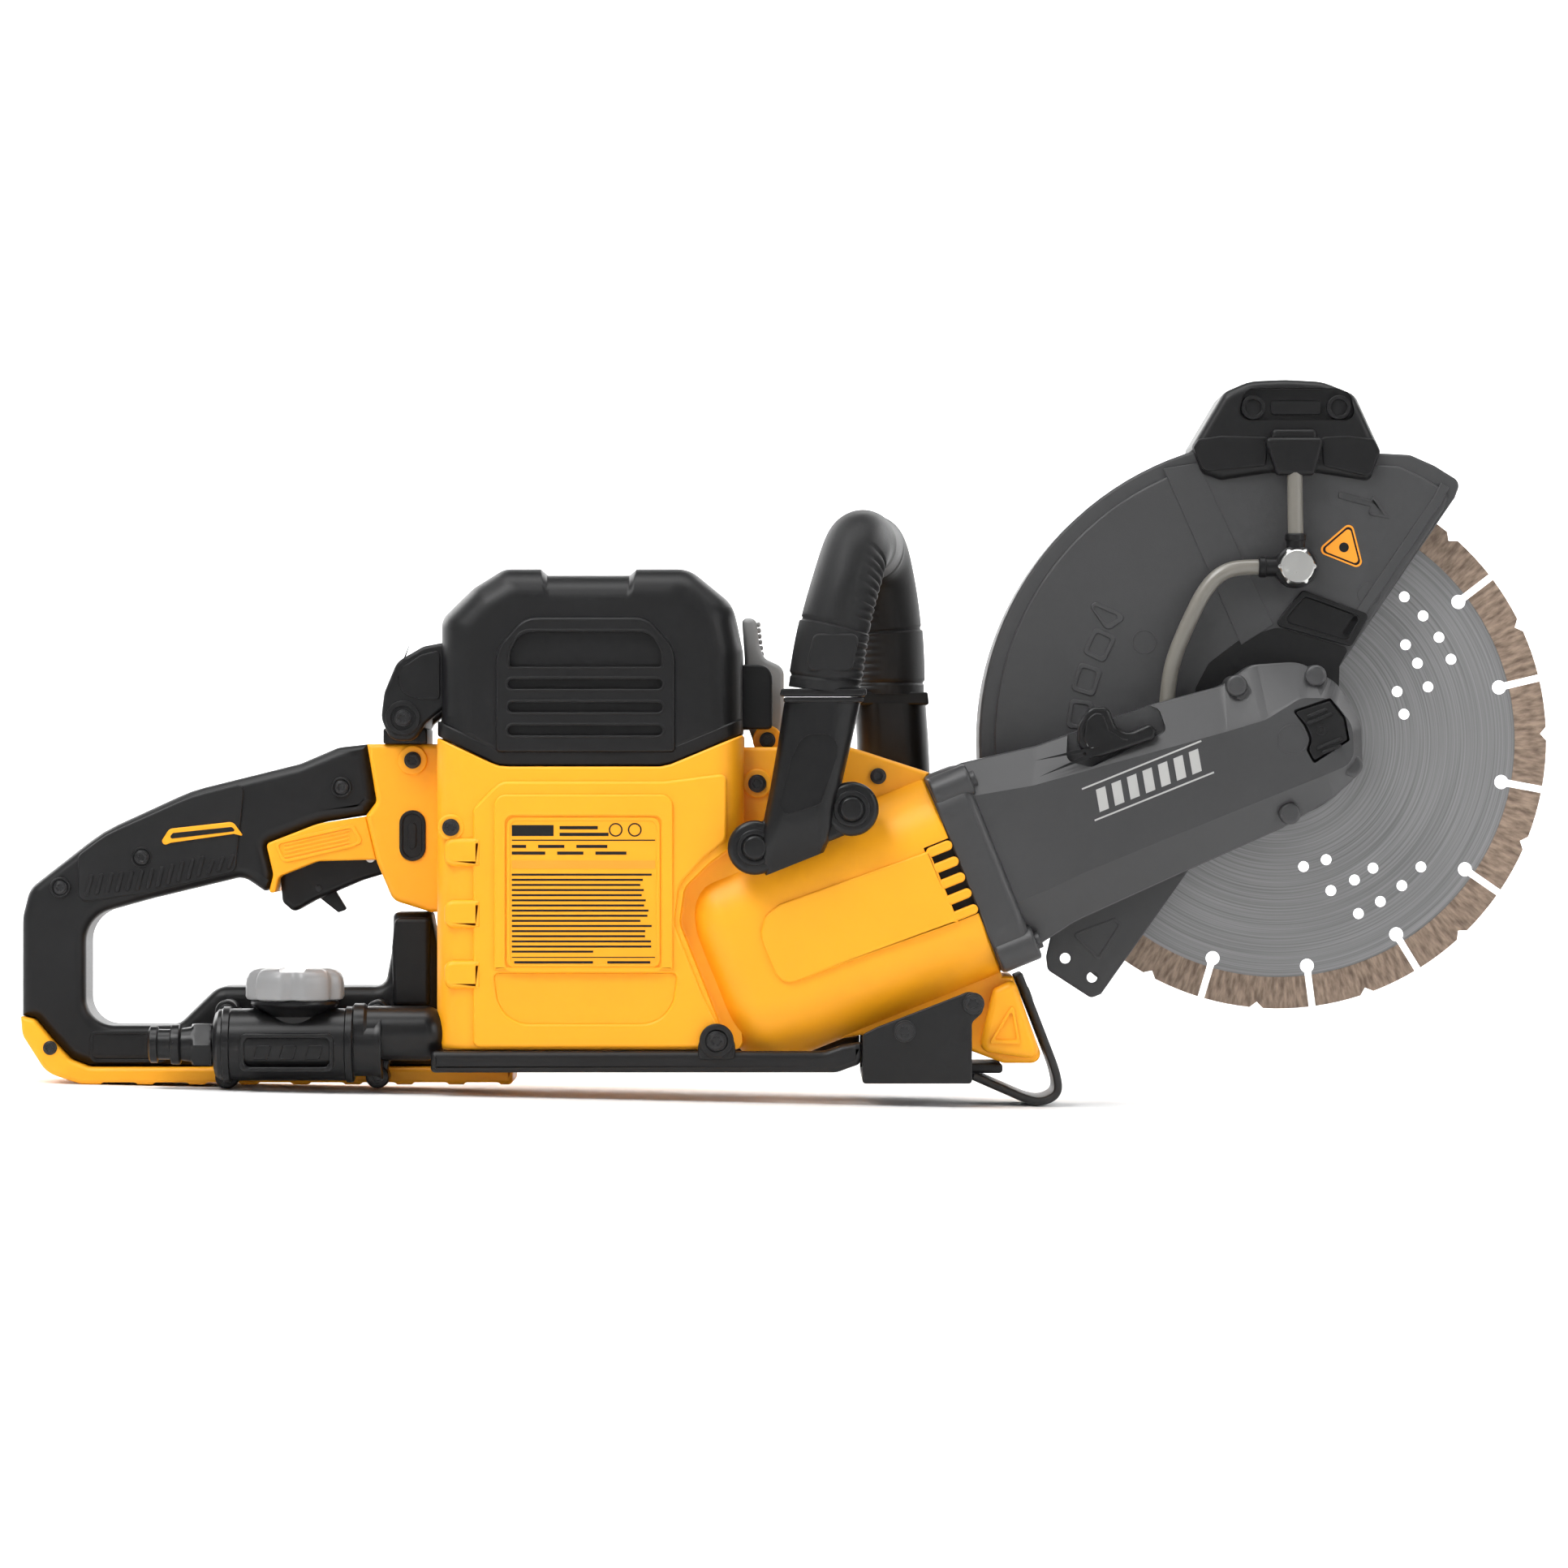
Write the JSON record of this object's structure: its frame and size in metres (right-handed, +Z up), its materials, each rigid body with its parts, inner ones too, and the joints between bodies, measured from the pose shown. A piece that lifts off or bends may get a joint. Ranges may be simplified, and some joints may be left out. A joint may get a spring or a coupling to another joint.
{
  "type": "rescue saw",
  "caption": "Cordless rescue cut-off saw with a D-shaped rear handle, battery box, carry handle, swinging wheel guard and water feed.",
  "frame": {"origin": "bottom centre of the bounding box; its height is the lowest point of the rubber strap foot", "axes": "+X forward to the wheel, +Z up, +Y to the left side, where the wheel is"},
  "size_m": [0.6504, 0.135, 0.3079],
  "materials": {
    "yellow_shell": "fine moulded texture, satin",
    "black_plastic": "fine moulded texture",
    "gloss_black": "smooth moulded, glossy",
    "grip_rubber": "soft overmould with fine ribs",
    "grey_cast": "dark grey powder coat on cast magnesium",
    "guard_paint": "dark grey powder coat",
    "wheel_steel": "ground in circles",
    "wheel_rim": "sintered diamond segments, tan",
    "bright_steel": "turned and bright",
    "screw_black": "black oxide",
    "bracket_steel": "black coated sheet steel",
    "core_steel": "laminated steel",
    "latch_grey": "fine moulded texture, grey",
    "hose_clear": "smooth grey-beige tube",
    "knob_grey": "translucent grey moulding",
    "strap_rubber": "rubber band, fine texture",
    "cell_case": "moulded battery case"
  },
  "bodies": {
    "body": {"housing_right": "yellow_shell", "housing_left": "yellow_shell", "handle_right": "black_plastic", "handle_left": "black_plastic", "handle_insert": "yellow_shell", "handle_grip": "grip_rubber", "accent_strip": "yellow_shell", "base_skid": "yellow_shell", "side_plug": "black_plastic", "housing_screws": "screw_black", "handle_screws": "screw_black", "pivot_pins": "bright_steel", "hinge_base": "black_plastic", "hinge_pin": "screw_black", "battery_pack": "cell_case", "terminal_block": "cell_case", "controller_module": "cell_case", "switch_module": "cell_case", "motor_mounts": "black_plastic", "motor_stator": "core_steel", "motor_bearings": "bright_steel", "gear_case": "grey_cast", "gear_case_screws": "screw_black", "gearbox_cover": "grey_cast", "guard_retainer": "bracket_steel", "spindle_bearings": "bright_steel", "hose_lower": "hose_clear", "bail_handle": "gloss_black", "bail_grip": "grip_rubber", "base_frame": "bracket_steel", "frame_screws": "screw_black", "strap_foot": "strap_rubber", "valve_body": "black_plastic", "inlet_connector": "black_plastic", "valve_screws": "screw_black"},
    "spindle": {"spindle": "bright_steel", "bevel_gear": "bright_steel", "inner_flange": "bright_steel", "outer_flange": "bright_steel", "wheel_bolt": "bright_steel", "blade_core": "wheel_steel", "blade_segments": "wheel_rim"},
    "rotor": {"rotor_shaft": "bright_steel", "rotor_core": "core_steel", "fan": "black_plastic", "bevel_pinion": "bright_steel"},
    "guard": {"guard_shell": "guard_paint", "guard_pad": "black_plastic", "guard_handle": "black_plastic", "nozzle_block": "black_plastic", "tee_fitting": "black_plastic", "tee_bolt": "bright_steel", "hose_upper": "hose_clear"},
    "trigger": {"trigger": "black_plastic"},
    "lock_off": {"lock_off": "black_plastic"},
    "battery_cover": {"battery_cover": "black_plastic"},
    "latch": {"latch": "latch_grey"},
    "water_knob": {"water_knob": "knob_grey"},
    "lock_button": {"lock_button": "black_plastic"},
    "guard_lever": {"guard_lever": "gloss_black"}
  },
  "joints": [
    {"name": "spindle_spin", "type": "hinge", "parent": "body", "child": "spindle", "pos_m": [0.21025, 0.008, 0.15468], "axis": [0, 1, 0], "continuous": true},
    {"name": "rotor_spin", "type": "hinge", "parent": "body", "child": "rotor", "pos_m": [0.21025, -0.02, 0.15468], "axis": [0.9272, 0, 0.3746], "continuous": true},
    {"name": "guard_swing", "type": "hinge", "parent": "body", "child": "guard", "pos_m": [0.21025, 0.008, 0.15468], "axis": [0, -1, 0], "range_deg": [0, 40], "deforming": ["hose_lower"]},
    {"name": "trigger_squeeze", "type": "hinge", "parent": "body", "child": "trigger", "pos_m": [-0.17725, 0.008, 0.10448], "axis": [0, 1, 0], "range_deg": [0, 10], "stiffness_Nm_per_rad": 0.3, "springref_deg": -17.19},
    {"name": "lock_off_fold", "type": "hinge", "parent": "trigger", "child": "lock_off", "pos_m": [-0.19965, 0.008, 0.09148], "axis": [0, -1, 0], "range_deg": [0, 40], "stiffness_Nm_per_rad": 0.02, "springref_deg": -28.65},
    {"name": "cover_swing", "type": "hinge", "parent": "body", "child": "battery_cover", "pos_m": [-0.16195, 0.008, 0.16368], "axis": [0, -1, 0], "range_deg": [0, 95]},
    {"name": "latch_pull", "type": "hinge", "parent": "body", "child": "latch", "pos_m": [-0.00825, 0.008, 0.15448], "axis": [0, 1, 0], "range_deg": [0, 25], "stiffness_Nm_per_rad": 0.4, "springref_deg": -17.19},
    {"name": "water_knob_turn", "type": "hinge", "parent": "body", "child": "water_knob", "pos_m": [-0.20705, -0.036, 0.04948], "axis": [0, 0, 1], "range_deg": [0, 90]},
    {"name": "lock_button_press", "type": "slide", "parent": "body", "child": "lock_button", "axis": [0, 1, 0], "range_m": [0, 0.0025], "stiffness_N_per_m": 900, "springref_m": -0.002},
    {"name": "guard_lever_lift", "type": "hinge", "parent": "body", "child": "guard_lever", "pos_m": [0.12775, 0.008, 0.15298], "axis": [0, -1, 0], "range_deg": [0, 8], "stiffness_Nm_per_rad": 0.3, "springref_deg": -17.19}
  ],
  "couplings": [
    {"joint": "rotor_spin", "follows": "spindle_spin", "ratio": -2.8182}
  ]
}
